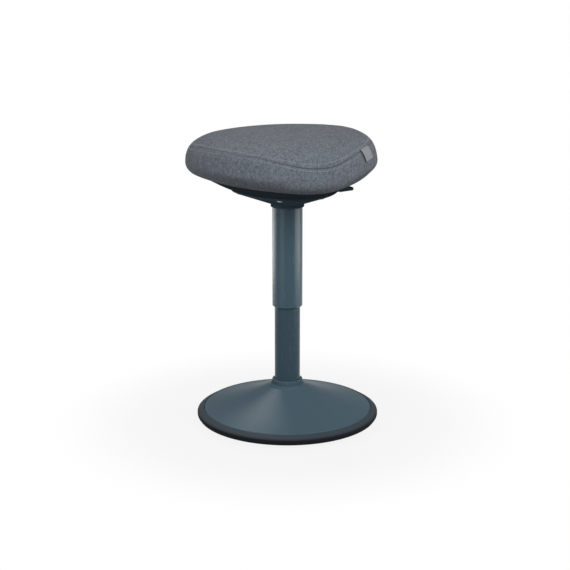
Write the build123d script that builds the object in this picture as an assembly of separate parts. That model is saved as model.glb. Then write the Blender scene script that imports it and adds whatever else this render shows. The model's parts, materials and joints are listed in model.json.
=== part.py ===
from build123d import *
import os
from math import asin, atan2, cos, degrees, radians, sin, tan

# Active sit-stand stool: a padded rounded-triangle seat on a telescopic gas column and a rocking cone base.
# Millimetres, +Z up, origin on the floor under the column's axis, one seat corner towards -Y.

# Fits and clearances
running_fit = 0.05
loose_fit = 0.1
soft_gap = 0.3
travel_gap = 3.0

# Heights of the stool as it stands at rest
hub_z = 436.0
cushion_z = 492.0
girth_z = 517.5
crown_z = 583.0

# Strokes of the column from rest
stroke_down = 120.0
stroke_up = 40.0

# Column tubes
lower_tube_radius = 25.0
lower_tube_wall = 2.0
upper_tube_radius = 29.5
upper_tube_wall = 2.0
upper_tube_length = 199.0
upper_tube_chamfer = 1.2
tube_edge_chamfer = 0.8
wiper_height = 12.0
wiper_recess = 2.0
bush_length = 55.0
bush_flange = 3.0

# Gas spring
cylinder_radius = 14.0
cylinder_wall = 1.8
taper_angle = 1.43
chamber_roof = 43.0
gland_height = 20.0
rod_radius = 5.0
rod_step_radius = 4.0
rod_head_radius = 5.6
rod_head_height = 2.0
piston_height = 12.0
seal_depth = 2.0
seal_height = 3.0
pin_radius = 3.0
pin_length = 42.0
pin_reach = 5.0
buffer_height = 6.0
buffer_radius = 13.0
buffer_gap = 1.0

# Thrust bearing and clip at the foot of the rod
washer_radius = 16.0
washer_height = 2.0
ball_radius = 2.0
ball_count = 10
ball_circle = 11.0
ball_gap = 0.05
cage_height = 1.6
cage_band = 3.2
web_height = 4.0
web_drop = 10.0
clip_washer_height = 1.0
clip_height = 1.2
clip_radius = 7.0
clip_mouth = 5.0
groove_depth = 0.8
rod_tail = 3.0

# Base
sole_flat_radius = 75.0
rock_angle = 12.5
sole_rim = 0.3
sole_height = 14.0
plate_height = 3.0
dish_radius = 166.3
dish_wall = 1.6
dish_shoulder_z = 28.5
dish_shoulder_round = 4.0
dish_top_z = 78.0
dish_neck_radius = 37.0
dish_neck_drop = 5.0
dish_top_radius = 32.0
dish_sag = 4.0
bumper_width = 13.1
bumper_side_low = 15.5
bumper_side_high = 21.5
bumper_lip = 1.0
bumper_round = 3.0
collar_radius = 30.0
collar_height = 9.0
collar_round = 2.0
socket_wall = 5.0
socket_flange_radius = 60.0
socket_flange_height = 6.0
socket_rib_height = 26.0
socket_rib_width = 5.0
socket_bolt_circle = 48.0
socket_bolt_count = 4
ballast_radius = 132.0
ballast_height = 15.0
ballast_gap = 1.0
ballast_bolt_circle = 98.0
ballast_bolt_count = 4
sole_screw_circle = 142.0
sole_screw_count = 6
sole_screw_cover = 4.0

# Fasteners: shank radius, head radius, head height
base_bolt = (4.0, 6.5, 5.0)
sole_screw = (2.5, 4.8, 3.0)
flange_screw = (3.0, 5.2, 3.2)
drive_depth = 1.8
spot_margin = 1.0
head_round = 0.6

# Seat flange: reach at its corners and sides, corner radius
flange_corner = 109.0
flange_side = 97.0
flange_round = 70.0
flange_rise = 30.5
flange_lip = 4.5
flange_floor = 9.0
hub_radius = 32.5
hub_collar = 6.0
hub_core_radius = 22.0
hub_height = 18.0
spigot_length = 8.0
flange_rib_width = 4.0
flange_rib_drop = 4.0
screw_circle = 93.0
screw_angle = 26.0

# Release lever under one side of the seat, drawn along +Y and turned to that side
lever_angle = 17.0
lever_pivot_y = 22.0
lever_pivot_lift = 28.0
lever_thickness = 3.0
lever_width = 16.0
lever_nose = 7.0
lever_drop = 8.0
lever_knee_y = 27.0
lever_elbow_y = 44.0
lever_reach = 144.0
lever_barrel_radius = 5.0
lever_pin_radius = 2.5
lever_side_gap = 0.6
ear_width = 4.0
ear_length = 14.0
ear_top = 5.5
lever_slot_gap = 2.5
grip_length = 35.0
grip_width = 36.0
grip_height = 7.0
grip_cover = 3.0
grip_round = 2.5

# Seat shell and board
shell_wall = 3.0
shell_floor_margin = 4.0
shell_bulge = 1.6
shell_hole_radius = 38.0
shell_boss_radius = 8.0
shell_rim_inset = 2.0
board_height = 12.0
board_inset = 9.0
tee_barrel_radius = 4.4
tee_flange_radius = 10.0
tee_flange_height = 1.5

# Cushion: reach at its corners and sides and corner radius, at its girth, at its hem and along its seam
girth_corner = 198.5
girth_side = 167.5
girth_round = 80.0
hem_corner = 170.0
hem_side = 134.0
hem_round = 55.0
seam_corner = 190.0
seam_side = 155.0
seam_round = 70.0
cover_thickness = 2.0
hem_width = 22.0

# The cover turns under from the girth to the hem and swells from the girth to the crown.
hem_end_angle = 85.0
hem_steps = 5
side_flat_ratio = 0.5
crown_end_angle = 86.0
crown_steps = 10
crown_power = 3.6
shoulder_power = 2.5
side_swell_ratio = 0.3

# Label sewn into the seam of one side, a little along the side's arc from its middle
label_width = 48.0
label_height = 25.0
label_thickness = 0.8
label_angle = 330.0
label_slide_angle = 6.0
label_swell = 2.0
label_spread = 10.0

corner_angles = (30.0, 150.0, 270.0)
corner_step_angle = 120.0

# Heights that follow from the sizes above
plate_z = sole_height
floor_z = plate_z + plate_height
web_z = floor_z + web_drop
bearing_z = web_z + web_height
balls_z = bearing_z + washer_height
upper_washer_z = balls_z + 2 * ball_radius
buffer_z = upper_washer_z + washer_height
buffer_top = buffer_z + buffer_height
cylinder_z = buffer_top + buffer_gap + stroke_down
spigot_z = hub_z - spigot_length
bush_top = spigot_z - stroke_down - travel_gap
lower_tube_top = bush_top - bush_flange
upper_tube_z = hub_z - upper_tube_length
wiper_z = upper_tube_z + wiper_recess
piston_z = cylinder_z + gland_height + stroke_up + travel_gap
hub_top = hub_z + hub_height
cylinder_top = hub_top + travel_gap
chamber_top = cylinder_top - chamber_roof
pin_top = cylinder_top + pin_reach
lip_z = hub_z + flange_rise
shell_z = lip_z + flange_lip
shell_floor = shell_z + shell_wall
board_z = cushion_z + cover_thickness
board_top = board_z + board_height
shell_rim_z = cushion_z - soft_gap
lever_pivot_z = hub_z + lever_pivot_lift
lever_turn = Rot(0, 0, lever_angle - 90)
cylinder_bore = cylinder_radius - cylinder_wall
lower_tube_bore = lower_tube_radius - lower_tube_wall
upper_tube_bore = upper_tube_radius - upper_tube_wall
socket_radius = lower_tube_radius + loose_fit + socket_wall
sole_radius = dish_radius - sole_rim
bumper_radius = dish_radius + loose_fit + bumper_width
rock_radius = (bumper_radius - bumper_round - sole_flat_radius) / sin(radians(rock_angle))


def cylinder(radius, low, high):
    return Pos(0, 0, low) * extrude(Circle(radius), high - low)


def ring(outer, inner, low, high):
    return Pos(0, 0, low) * extrude(Circle(outer) - Circle(inner), high - low)


def block(x_size, y_low, y_high, z_low, z_high):
    middle = (0, (y_low + y_high) / 2, (z_low + z_high) / 2)
    return Pos(middle) * Box(x_size, y_high - y_low, z_high - z_low)


def turned(points, rounds=()):
    # A round piece from its half section of (radius, height) points; rounds pairs a point with its fillet.
    section = make_face(Polyline(*points, close=True))
    for (radius, height), size in rounds:
        corner = section.vertices().sort_by_distance((radius, height))[0]
        section = fillet(corner, size)
    return revolve(Plane.XZ * section, Axis.Z)


def around(piece, radius, count, start=0.0):
    step = 360.0 / count
    return [Rot(0, 0, start + step * place) * Pos(radius, 0, 0) * piece for place in range(count)]


def screw(sizes, length):
    # Socket-head screw along +Z: the shank starts at z 0, the head lies below it.
    shank, head, head_height = sizes
    body = cylinder(shank, 0, length) + cylinder(head, -head_height, 0)
    rim = body.edges().filter_by(GeomType.CIRCLE).sort_by(Axis.Z)[0]
    body = fillet(rim, head_round)
    drive = Pos(0, 0, -head_height) * extrude(RegularPolygon(head * 0.5, 6), drive_depth)
    return body - drive


def save(name, *pieces):
    solids = []
    for piece in pieces:
        solids.extend(piece.solids())
    shape = solids[0] if len(solids) == 1 else Compound(children=solids)
    shape.label = name
    export_step(shape, f"parts/{name}.step")


# Outline of three corner arcs and three side arcs, tangent to one another


def arc_outline(corner_centre, corner_radius, back, side_radius, span):
    arcs = []
    for corner in corner_angles:
        turn = radians(corner)
        centre = (corner_centre * cos(turn), corner_centre * sin(turn))
        corner_span = corner_step_angle - span
        arcs.append(CenterArc(centre, corner_radius, corner - corner_span / 2, corner_span))
        normal = corner + corner_step_angle / 2
        turn = radians(normal)
        centre = (-back * cos(turn), -back * sin(turn))
        arcs.append(CenterArc(centre, side_radius, normal - span / 2, span))
    return make_face(arcs)


def side_back(corner, side, corner_radius):
    # How far the side arc's centre lies behind the axis for it to touch both corner arcs.
    reach = corner - corner_radius
    depth = side - corner_radius
    return (reach * reach - depth * depth) / (2 * depth - reach)


def side_span(corner, side, corner_radius):
    reach = corner - corner_radius
    back = side_back(corner, side, corner_radius)
    half_step = radians(corner_step_angle / 2)
    return 2 * degrees(atan2(reach * sin(half_step), reach * cos(half_step) + back))


def three_corner(corner, side, corner_radius, inset=0.0):
    back = side_back(corner, side, corner_radius)
    span = side_span(corner, side, corner_radius)
    reach = corner - corner_radius
    return arc_outline(reach, corner_radius - inset, back, side + back - inset, span)


def flange_outline(inset=0.0):
    return three_corner(flange_corner, flange_side, flange_round, inset)


def flange_circle(radius):
    # A circle cut into the same six arcs as the flange's outline, so that the two can be joined.
    span = side_span(flange_corner, flange_side, flange_round)
    return arc_outline(0, radius, 0, radius, span)


def hem_outline(inset=0.0):
    return three_corner(hem_corner, hem_side, hem_round, inset)


def raised(height, outline):
    return Pos(0, 0, height) * outline


# Base


def make_rocker_sole():
    edge_angle = degrees(asin((sole_radius - sole_flat_radius) / rock_radius))
    curve = CenterArc((sole_flat_radius, rock_radius), rock_radius, -90, edge_angle)
    outline = Polyline(curve @ 1, (sole_radius, sole_height), (0, sole_height), (0, 0), (sole_flat_radius, 0))
    sole = revolve(Plane.XZ * make_face([curve, outline]), Axis.Z)
    shank, head, head_height = sole_screw
    well = cylinder(head + soft_gap, 0, sole_height - sole_screw_cover)
    hole = cylinder(shank + loose_fit, 0, sole_height)
    return sole - around(well + hole, sole_screw_circle, sole_screw_count)


def make_base_plate():
    plate = ring(dish_radius, rod_head_radius + clip_radius, plate_z, floor_z)
    holes = around(cylinder(sole_screw[0], plate_z, floor_z), sole_screw_circle, sole_screw_count)
    holes += around(cylinder(base_bolt[0], plate_z, floor_z), socket_bolt_circle, socket_bolt_count, 45)
    holes += around(cylinder(base_bolt[0], plate_z, floor_z), ballast_bolt_circle, ballast_bolt_count)
    return plate - holes


def make_ballast_ring():
    bore = socket_flange_radius + ballast_gap
    weight = ring(ballast_radius, bore, floor_z, floor_z + ballast_height)
    return weight - around(cylinder(base_bolt[0] + loose_fit, floor_z, floor_z + ballast_height),
                           ballast_bolt_circle, ballast_bolt_count)


def make_column_socket():
    top = dish_top_z - dish_wall
    tube = cylinder(socket_radius, floor_z, top)
    flange_top = floor_z + socket_flange_height
    flange = cylinder(socket_flange_radius, floor_z, flange_top)
    rib_top = flange_top + socket_rib_height
    rib_reach = socket_flange_radius - 2
    rib = Polyline((0, floor_z), (rib_reach, floor_z), (rib_reach, flange_top), (socket_radius, rib_top),
                   (0, rib_top), close=True)
    rib = extrude(Plane.XZ * make_face(rib), socket_rib_width / 2, both=True)
    ribs = [Rot(0, 0, 90 * place) * rib for place in range(4)]
    body = tube + flange + ribs
    body = body - cylinder(lower_tube_radius + loose_fit, floor_z, top)
    hole = cylinder(base_bolt[0] + loose_fit, floor_z, flange_top)
    return body - around(hole, socket_bolt_circle, socket_bolt_count, 45)


def make_base_bolts(circle, count, start, grip):
    # Bolts stand head up on a piece of this height, with the shank down through the plate.
    bolt = Pos(0, 0, floor_z + grip) * Rot(180, 0, 0) * screw(base_bolt, plate_height + grip)
    return around(bolt, circle, count, start)


def make_sole_screws():
    seat_height = sole_height - sole_screw_cover
    piece = Pos(0, 0, seat_height) * screw(sole_screw, floor_z - seat_height)
    return around(piece, sole_screw_circle, sole_screw_count)


def make_base_dish():
    # A sagging arc from the shoulder to the neck, a short steep neck and a flat top, all of one wall.
    neck_z = dish_top_z - dish_neck_drop
    shoulder_point = (dish_radius, dish_shoulder_z)
    middle = ((dish_radius + dish_neck_radius) / 2, (dish_shoulder_z + neck_z) / 2 - dish_sag)
    neck = (dish_neck_radius, neck_z)
    hole = lower_tube_radius + loose_fit
    inner_shoulder = (dish_radius - dish_wall, dish_shoulder_z - dish_wall)
    inner_middle = (middle[0] - dish_wall / 2, middle[1] - dish_wall)
    inner_neck = (dish_neck_radius - dish_wall / 2, neck_z - dish_wall)
    inner_top = (dish_top_radius - dish_wall / 2, dish_top_z - dish_wall)
    top = Polyline(neck, (dish_top_radius, dish_top_z), (hole, dish_top_z), (hole, dish_top_z - dish_wall),
                   inner_top, inner_neck)
    skirt = Polyline(inner_shoulder, (dish_radius - dish_wall, floor_z), (dish_radius, floor_z),
                     shoulder_point)
    section = make_face([ThreePointArc(shoulder_point, middle, neck), top,
                         ThreePointArc(inner_neck, inner_middle, inner_shoulder), skirt])
    shoulder = section.vertices().sort_by_distance((dish_radius, dish_shoulder_z))[0]
    section = fillet(shoulder, dish_shoulder_round)
    return revolve(Plane.XZ * section, Axis.Z)


def make_rim_bumper():
    inner = dish_radius + loose_fit
    low_edge = bumper_radius - bumper_round
    rise = rock_radius - (rock_radius ** 2 - (low_edge - sole_flat_radius) ** 2) ** 0.5
    low_inner = rock_radius - (rock_radius ** 2 - (inner - sole_flat_radius) ** 2) ** 0.5
    side_low = (bumper_radius, bumper_side_low)
    side_high = (bumper_radius, bumper_side_high)
    lip = inner + bumper_lip
    points = [(inner, low_inner), (low_edge, rise), side_low, side_high, (lip, dish_shoulder_z),
              (inner, dish_shoulder_z)]
    return turned(points, [(side_low, bumper_round), (side_high, bumper_round)])


def make_foot_collar():
    low = dish_top_z
    high = dish_top_z + collar_height
    bore = lower_tube_radius + loose_fit
    return turned([(bore, low), (collar_radius, low), (collar_radius, high), (bore, high)],
                  [((collar_radius, high), collar_round)])


def make_lower_tube():
    tube = ring(lower_tube_radius, lower_tube_bore, floor_z, lower_tube_top)
    web = ring(lower_tube_bore, rod_step_radius + running_fit, web_z, bearing_z)
    return tube + web


def make_guide_bush():
    sleeve = cylinder(lower_tube_bore - loose_fit, lower_tube_top - bush_length, lower_tube_top)
    cap = cylinder(lower_tube_radius, lower_tube_top, bush_top)
    cap = chamfer(cap.edges().filter_by(GeomType.CIRCLE).sort_by(Axis.Z)[-1], tube_edge_chamfer)
    return sleeve + cap - cylinder(cylinder_radius + running_fit, lower_tube_top - bush_length, bush_top)


# Thrust bearing and gas spring


def make_bearing_balls():
    ball = Pos(0, 0, balls_z + ball_radius) * Sphere(ball_radius)
    return around(ball, ball_circle, ball_count)


def make_bearing_cage():
    middle = balls_z + ball_radius
    low = middle - cage_height / 2
    high = middle + cage_height / 2
    band = ring(ball_circle + cage_band, ball_circle - cage_band, low, high)
    return band - around(cylinder(ball_radius + ball_gap, low, high), ball_circle, ball_count)


def make_piston_rod():
    tail_z = web_z - clip_washer_height - clip_height - rod_tail
    piston_top = piston_z + piston_height
    rod = cylinder(rod_radius, buffer_z, piston_z)
    rod += cylinder(rod_step_radius, tail_z, buffer_z)
    rod += cylinder(rod_step_radius, piston_z, piston_top)
    rod += cylinder(rod_head_radius, piston_top, piston_top + rod_head_height)
    clip_z = web_z - clip_washer_height - clip_height
    return rod - ring(rod_step_radius + 1, rod_step_radius - groove_depth, clip_z, clip_z + clip_height)


def make_rod_clip():
    high = web_z - clip_washer_height
    low = high - clip_height
    clip = ring(clip_radius, rod_step_radius - groove_depth, low, high)
    return clip - block(clip_mouth, 0, clip_radius + 1, low, high)


def make_piston():
    body = cylinder(cylinder_bore - running_fit, piston_z, piston_z + piston_height)
    body -= cylinder(rod_step_radius, piston_z, piston_z + piston_height)
    return body - seal_space()


def seal_space():
    middle = piston_z + piston_height / 2
    outer = cylinder_bore - running_fit / 2
    return ring(outer, cylinder_bore - seal_depth, middle - seal_height / 2, middle + seal_height / 2)


def make_gas_cylinder():
    taper_top = cylinder_radius - (cylinder_top - spigot_z) * tan(radians(taper_angle))
    barrel = turned([(0, cylinder_z), (cylinder_radius, cylinder_z), (cylinder_radius, spigot_z),
                     (taper_top, cylinder_top), (0, cylinder_top)])
    barrel -= cylinder(cylinder_bore, cylinder_z, chamber_top)
    return barrel - cylinder(pin_radius + running_fit, chamber_top, cylinder_top)


def make_upper_tube():
    tube = ring(upper_tube_radius, upper_tube_bore, upper_tube_z, hub_z)
    lower_rims = tube.edges().filter_by(GeomType.CIRCLE).group_by(Axis.Z)[0]
    return chamfer(lower_rims.sort_by(SortBy.RADIUS)[-1], upper_tube_chamfer)


def make_wiper_ring():
    return ring(upper_tube_bore - loose_fit, lower_tube_radius + running_fit, wiper_z, wiper_z + wiper_height)


# Seat flange, release lever and shell


def screw_places():
    turns = []
    for corner in corner_angles:
        turns += [corner - screw_angle, corner + screw_angle]
    return turns


def at_screws(piece):
    return [Rot(0, 0, turn) * Pos(screw_circle, 0, 0) * piece for turn in screw_places()]


def make_seat_flange():
    collar = cylinder(hub_radius, hub_z, hub_z + hub_collar)
    cone = loft([raised(hub_z + hub_collar, flange_circle(hub_radius)), raised(lip_z, flange_outline())],
                ruled=True)
    lip = Pos(0, 0, lip_z) * extrude(flange_outline(), flange_lip)
    lip_width = flange_corner - screw_circle + flange_screw[1]
    hollow = loft([raised(hub_z + flange_floor, flange_circle(hub_radius)),
                   raised(shell_z, flange_outline(lip_width))], ruled=True)
    whole = collar + cone + lip
    ribs = []
    for place in range(6):
        rib_high = 2 * (lip_z - flange_rib_drop - hub_z)
        rib_long = flange_side - hub_core_radius
        rib = Pos(hub_core_radius + rib_long / 2, 0, hub_z) * Box(rib_long, flange_rib_width, rib_high)
        ribs.append((Rot(0, 0, lever_angle + 30 + 60 * place) * rib) & whole)
    hub = cylinder(hub_core_radius, spigot_z, hub_top)
    hub += cylinder(upper_tube_bore - loose_fit, spigot_z, hub_z)
    body = (whole - hollow) + ribs + hub
    slot_width = lever_width + 2 * lever_slot_gap
    body -= lever_turn * block(slot_width, hub_core_radius, flange_corner, hub_z + flange_floor, shell_z)
    ear_back = lever_pivot_y - ear_length / 2
    ear = block(ear_width, ear_back, ear_back + ear_length, hub_z + flange_floor, lever_pivot_z + ear_top)
    ear_x = lever_width / 2 + lever_side_gap + ear_width / 2
    body = body + lever_turn * Pos(ear_x, 0, 0) * ear + lever_turn * Pos(-ear_x, 0, 0) * ear
    taper_base = cylinder_radius + loose_fit
    taper_top = taper_base - (hub_top - spigot_z) * tan(radians(taper_angle))
    body -= turned([(0, spigot_z), (taper_base, spigot_z), (taper_top, hub_top), (0, hub_top)])
    body -= make_lever_pivot_pin()
    body -= at_screws(cylinder(flange_screw[1] + spot_margin, hub_z, lip_z))
    return body - at_screws(cylinder(flange_screw[0] + loose_fit, lip_z, shell_z))


def lever_round(radius, length):
    # A cylinder along the lever's pivot.
    return lever_turn * Pos(0, lever_pivot_y, lever_pivot_z) * Rot(0, 90, 0) * Cylinder(radius, length)


def make_lever_pivot_pin():
    return lever_round(lever_pin_radius, lever_width + 2 * (lever_side_gap + ear_width))


def lever_bar():
    nose_z = pin_top + soft_gap + lever_thickness / 2
    arm_z = nose_z - lever_drop
    path = Polyline((-lever_nose, nose_z), (lever_knee_y, nose_z), (lever_elbow_y, arm_z),
                    (lever_reach, arm_z))
    bar = Plane.YZ * trace(path, lever_thickness)
    return lever_turn * extrude(bar, lever_width / 2, both=True)


def make_release_lever():
    barrel = lever_round(lever_barrel_radius, lever_width)
    length = lever_width + lever_side_gap
    return lever_bar() + barrel - lever_round(lever_pin_radius + running_fit, length)


def make_lever_grip():
    # A paddle round the end of the bar.
    arm_z = pin_top + soft_gap + lever_thickness / 2 - lever_drop
    grip = fillet(Box(grip_width, grip_length, grip_height).edges(), grip_round)
    grip = Pos(0, lever_reach + grip_cover - grip_length / 2, arm_z) * grip
    return lever_turn * grip - lever_bar()


def shell_bowl(inset, low, high):
    # The middle outline lies half way between the floor and the rim, lowered a little to round the bowl.
    floor_margin = shell_floor_margin - inset
    rim_inset = shell_rim_inset + inset
    middle = three_corner((flange_corner + floor_margin + hem_corner - rim_inset) / 2,
                          (flange_side + floor_margin + hem_side - rim_inset) / 2,
                          (flange_round + floor_margin + hem_round - rim_inset) / 2)
    return loft([raised(low, flange_outline(-floor_margin)), raised((low + high) / 2 - shell_bulge, middle),
                 raised(high, hem_outline(rim_inset))])


def make_seat_shell():
    shell = shell_bowl(0, shell_z, shell_rim_z)
    shell -= shell_bowl(shell_wall / 2, shell_floor, shell_rim_z + shell_wall)
    shell += at_screws(cylinder(shell_boss_radius, shell_floor, board_z))
    shell -= cylinder(shell_hole_radius, shell_z, shell_floor)
    return shell - at_screws(cylinder(flange_screw[0] + loose_fit, shell_z, board_z))


def make_flange_screws():
    length = board_top - lip_z - tee_flange_height
    return at_screws(Pos(0, 0, lip_z) * screw(flange_screw, length))


def make_seat_board():
    board = Pos(0, 0, board_z) * extrude(hem_outline(board_inset), board_height)
    board -= at_screws(cylinder(tee_barrel_radius, board_z, board_top))
    return board - at_screws(cylinder(tee_flange_radius, board_top - tee_flange_height, board_top))


def make_tee_nuts():
    barrel = ring(tee_barrel_radius, flange_screw[0], board_z, board_top)
    flange = ring(tee_flange_radius, flange_screw[0], board_top - tee_flange_height, board_top)
    return at_screws(barrel + flange)


# Cushion


def even_steps(start, stop, count):
    return [start + (stop - start) * place / count for place in range(count + 1)]


def crown_height(share):
    # Height of the top panel where its outline has shrunk to this share of the girth.
    return girth_z + (crown_z - girth_z) * (1 - share ** crown_power) ** (1 / shoulder_power)


def side_height(reach):
    # Height of the top panel at this reach, half way along a side.
    share = reach / girth_side
    return crown_height(share / (1 + side_swell_ratio * share * (1 - share)))


def hem_section(turn, shrink):
    # One outline between the girth, at no turn, and the hem.
    angle = radians(turn)
    tuck = (1 - cos(angle)) / (1 - cos(radians(hem_end_angle)))
    drop = sin(angle) / sin(radians(hem_end_angle))
    side_tuck = tuck + (drop - tuck) * side_flat_ratio
    outline = three_corner(girth_corner + (hem_corner - girth_corner) * tuck,
                           girth_side + (hem_side - girth_side) * side_tuck,
                           girth_round + (hem_round - girth_round) * tuck, shrink)
    return raised(girth_z - (girth_z - cushion_z - shrink) * drop, outline)


def crown_section(turn, shrink):
    # One outline between the girth, at no turn, and the crown.
    share = cos(radians(turn)) ** (2 / crown_power)
    side_share = share * (1 + side_swell_ratio * share * (1 - share))
    outline = three_corner((girth_corner - shrink) * share, (girth_side - shrink) * side_share,
                           (girth_round - shrink) * share)
    rise = (crown_height(share) - girth_z) * (crown_z - girth_z - shrink) / (crown_z - girth_z)
    return raised(girth_z + rise, outline)


def cushion_form(shrink):
    hem = [hem_section(turn, shrink) for turn in even_steps(hem_end_angle, 0, hem_steps)]
    crown = [crown_section(turn, shrink) for turn in even_steps(0, crown_end_angle, crown_steps)]
    return loft(hem + crown[1:])


def make_cover():
    inside = cushion_form(cover_thickness - soft_gap)
    opening = Pos(0, 0, cushion_z) * extrude(hem_outline(hem_width), cover_thickness)
    return cushion_form(0) - inside - opening


def seam_prism():
    # Upright block inside the seam, above the girth.
    return Pos(0, 0, girth_z) * extrude(three_corner(seam_corner, seam_side, seam_round), crown_z)


def make_seat_foam():
    room = hem_outline(board_inset - soft_gap)
    board_space = Pos(0, 0, cushion_z) * extrude(room, board_top + soft_gap - cushion_z)
    return cushion_form(cover_thickness) - board_space


def make_cover_label():
    # A flat tab that hangs from the seam against the band and leans as the band does there.
    seam_height = side_height(seam_side)
    lower_height = side_height(seam_side + label_spread)
    lean = degrees(atan2(seam_height - lower_height, label_spread))
    tab = Box(label_thickness, label_width, label_height)
    stand = label_swell + soft_gap + label_thickness / 2
    tab = Rot(0, lean - 90, 0) * Pos(stand, 0, 0) * tab
    back = side_back(seam_corner, seam_side, seam_round)
    middle = Pos(back + seam_side + label_spread / 2, 0, (seam_height + lower_height) / 2)
    return Rot(0, 0, label_angle) * Pos(-back, 0, 0) * Rot(0, 0, -label_slide_angle) * middle * tab


os.makedirs("parts", exist_ok=True)

save("rocker_sole", make_rocker_sole())
save("sole_screws", *make_sole_screws())
save("base_plate", make_base_plate())
save("ballast_ring", make_ballast_ring())
save("ballast_bolts", *make_base_bolts(ballast_bolt_circle, ballast_bolt_count, 0, ballast_height))
save("column_socket", make_column_socket())
save("socket_bolts", *make_base_bolts(socket_bolt_circle, socket_bolt_count, 45, socket_flange_height))
save("base_dish", make_base_dish())
save("rim_bumper", make_rim_bumper())
save("foot_collar", make_foot_collar())
save("lower_tube", make_lower_tube())
save("guide_bush", make_guide_bush())
save("bearing_lower_washer", ring(washer_radius, rod_step_radius + loose_fit, bearing_z, balls_z))
save("bearing_balls", *make_bearing_balls())
save("bearing_cage", make_bearing_cage())
save("bearing_upper_washer", ring(washer_radius, rod_step_radius, upper_washer_z, buffer_z))
save("rubber_buffer", ring(buffer_radius, rod_radius, buffer_z, buffer_top))
save("piston_rod", make_piston_rod())
save("rod_clip", make_rod_clip())
save("clip_washer", ring(clip_radius, rod_step_radius, web_z - clip_washer_height, web_z))
save("piston", make_piston())
save("piston_seal", seal_space())
save("gas_cylinder", make_gas_cylinder())
save("cylinder_gland", ring(cylinder_bore, rod_radius + running_fit, cylinder_z, cylinder_z + gland_height))
save("valve_pin", cylinder(pin_radius, pin_top - pin_length, pin_top))
save("upper_tube", make_upper_tube())
save("wiper_ring", make_wiper_ring())
save("seat_flange", make_seat_flange())
save("lever_pivot_pin", make_lever_pivot_pin())
save("release_lever", make_release_lever())
save("lever_grip", make_lever_grip())
save("seat_shell", make_seat_shell())
save("flange_screws", *make_flange_screws())
save("seat_board", make_seat_board())
save("tee_nuts", *make_tee_nuts())
save("seat_foam", make_seat_foam())
cover = make_cover()
top_space = seam_prism()
save("cover_band", cover - top_space)
save("cover_top", cover & top_space)
save("cover_label", make_cover_label())
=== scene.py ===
import json
from math import atan2, cos, exp, pi, radians, sin, sqrt

import bmesh
import bpy
from mathutils import Matrix, Vector
from mathutils.bvhtree import BVHTree


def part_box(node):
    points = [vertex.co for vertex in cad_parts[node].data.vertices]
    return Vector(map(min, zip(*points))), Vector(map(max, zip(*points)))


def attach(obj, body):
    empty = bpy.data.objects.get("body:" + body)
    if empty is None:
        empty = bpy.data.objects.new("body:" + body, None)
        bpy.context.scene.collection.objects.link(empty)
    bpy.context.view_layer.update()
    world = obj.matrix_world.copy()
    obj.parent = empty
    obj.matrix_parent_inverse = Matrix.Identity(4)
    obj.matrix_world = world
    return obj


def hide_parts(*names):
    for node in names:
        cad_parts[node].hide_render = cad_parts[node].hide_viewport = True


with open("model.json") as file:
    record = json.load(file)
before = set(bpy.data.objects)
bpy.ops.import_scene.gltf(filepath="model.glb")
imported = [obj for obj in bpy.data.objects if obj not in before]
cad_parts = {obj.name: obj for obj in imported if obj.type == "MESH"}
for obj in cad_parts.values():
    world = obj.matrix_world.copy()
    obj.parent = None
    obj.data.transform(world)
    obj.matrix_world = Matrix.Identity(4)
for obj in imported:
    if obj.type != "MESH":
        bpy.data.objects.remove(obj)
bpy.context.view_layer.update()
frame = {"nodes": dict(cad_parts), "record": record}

nodes = frame["nodes"]
scene = bpy.context.scene
scene.view_settings.view_transform = "Standard"
print("frame loaded:", len(nodes), "nodes")


# shader graphs written as expressions

class Flow:
    def __init__(self, graph, socket):
        self.graph = graph
        self.socket = socket

    def math(self, operation, first, second=0.0):
        return self.graph.add("ShaderNodeMath", {"operation": operation}, {0: first, 1: second})

    def __add__(self, other):
        return self.math("ADD", self, other)

    __radd__ = __add__

    def __sub__(self, other):
        return self.math("SUBTRACT", self, other)

    def __rsub__(self, other):
        return self.math("SUBTRACT", other, self)

    def __mul__(self, other):
        return self.math("MULTIPLY", self, other)

    __rmul__ = __mul__

    def __truediv__(self, other):
        return self.math("DIVIDE", self, other)

    def __rtruediv__(self, other):
        return self.math("DIVIDE", other, self)

    def __mod__(self, other):
        return self.math("FLOORED_MODULO", self, other)

    def __pow__(self, other):
        return self.math("POWER", self, other)

    def floor(self):
        return self.math("FLOOR", self)

    def hump(self):
        return self.math("ABSOLUTE", self.math("SINE", self * pi))  # one rounded back per unit

    def clamp(self):
        return self.math("MINIMUM", self.math("MAXIMUM", self, 0.0), 1.0)

    def out(self, name):
        return Flow(self.graph, self.socket.node.outputs[name])


class Graph:
    def __init__(self, tree):
        self.tree = tree

    def add(self, kind, settings=None, inputs=None, output=0):
        node = self.tree.nodes.new(kind)
        for key, value in (settings or {}).items():
            setattr(node, key, value)
        for key, value in (inputs or {}).items():
            self.feed(node.inputs[key], value)
        return Flow(self, node.outputs[output])

    def feed(self, socket, value):
        if isinstance(value, Flow):
            self.tree.links.new(value.socket, socket)
        else:
            socket.default_value = value

    def whiten(self, lit, end, mask=None):
        # plain white to the camera and in gloss, as lit to everything else
        rays = self.add("ShaderNodeLightPath", output="Is Camera Ray")
        seen = rays
        for name in ("Is Glossy Ray", "Is Transmission Ray"):
            seen = seen.math("MAXIMUM", seen, rays.out(name))
        if mask:
            seen = seen * mask
        white = self.add("ShaderNodeEmission", {}, {"Strength": 1.0})
        lit = Flow(self, self.tree.nodes[lit].outputs[0])
        surface = self.add("ShaderNodeMixShader", {}, {0: seen, 1: lit, 2: white})
        self.feed(self.tree.nodes[end].inputs["Surface"], surface)


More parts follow.
